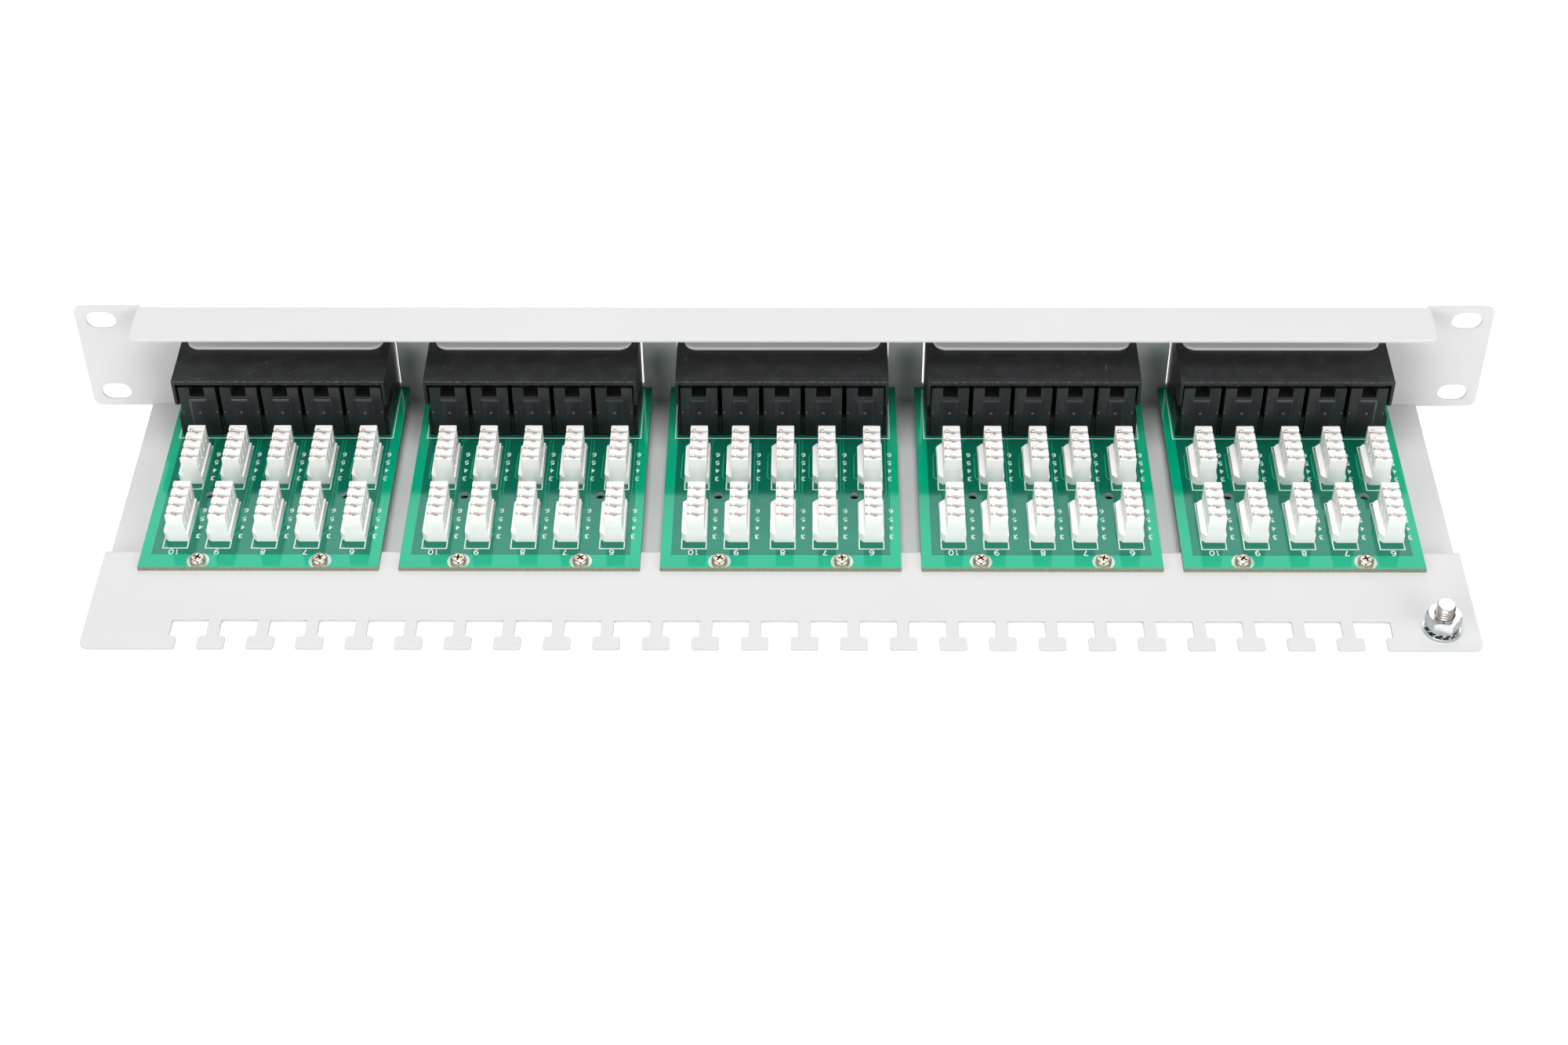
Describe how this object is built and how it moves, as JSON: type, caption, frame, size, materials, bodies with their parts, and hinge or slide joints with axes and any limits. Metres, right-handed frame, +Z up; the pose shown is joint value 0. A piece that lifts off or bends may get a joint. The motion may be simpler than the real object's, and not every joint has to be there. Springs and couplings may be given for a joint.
{
  "type": "isdn patch panel",
  "caption": "Rack-mount patch panel: folded sheet with black modular jack rows at the front, green boards with white wire terminals and a cable-tie comb behind.",
  "frame": {"origin": "centre of the four ear slots, on the rear face of the front plate", "axes": "+X to the right seen from the front, +Y to the rear, +Z up"},
  "size_m": [0.4826, 0.1271, 0.0438],
  "materials": {
    "painted_sheet": "light grey satin powder coat",
    "black_moulding": "moulded, slightly satin",
    "green_board": "solder mask over glass laminate",
    "white_moulding": "moulded, satin",
    "zinc_steel": "bright zinc plate"
  },
  "bodies": {
    "root": {"chassis": "painted_sheet", "earth_stud": "zinc_steel", "earth_nut": "zinc_steel", "earth_tooth_washer": "zinc_steel", "earth_flat_washer": "zinc_steel", "circuit_board_1": "green_board", "jack_housing_1": "black_moulding", "jack_inserts_1": "black_moulding", "idc_blocks_upper_1": "white_moulding", "idc_blocks_lower_1": "white_moulding", "circuit_board_2": "green_board", "jack_housing_2": "black_moulding", "jack_inserts_2": "black_moulding", "idc_blocks_upper_2": "white_moulding", "idc_blocks_lower_2": "white_moulding", "circuit_board_3": "green_board", "jack_housing_3": "black_moulding", "jack_inserts_3": "black_moulding", "idc_blocks_upper_3": "white_moulding", "idc_blocks_lower_3": "white_moulding", "circuit_board_4": "green_board", "jack_housing_4": "black_moulding", "jack_inserts_4": "black_moulding", "idc_blocks_upper_4": "white_moulding", "idc_blocks_lower_4": "white_moulding", "circuit_board_5": "green_board", "jack_housing_5": "black_moulding", "jack_inserts_5": "black_moulding", "idc_blocks_upper_5": "white_moulding", "idc_blocks_lower_5": "white_moulding"}
  },
  "joints": []
}
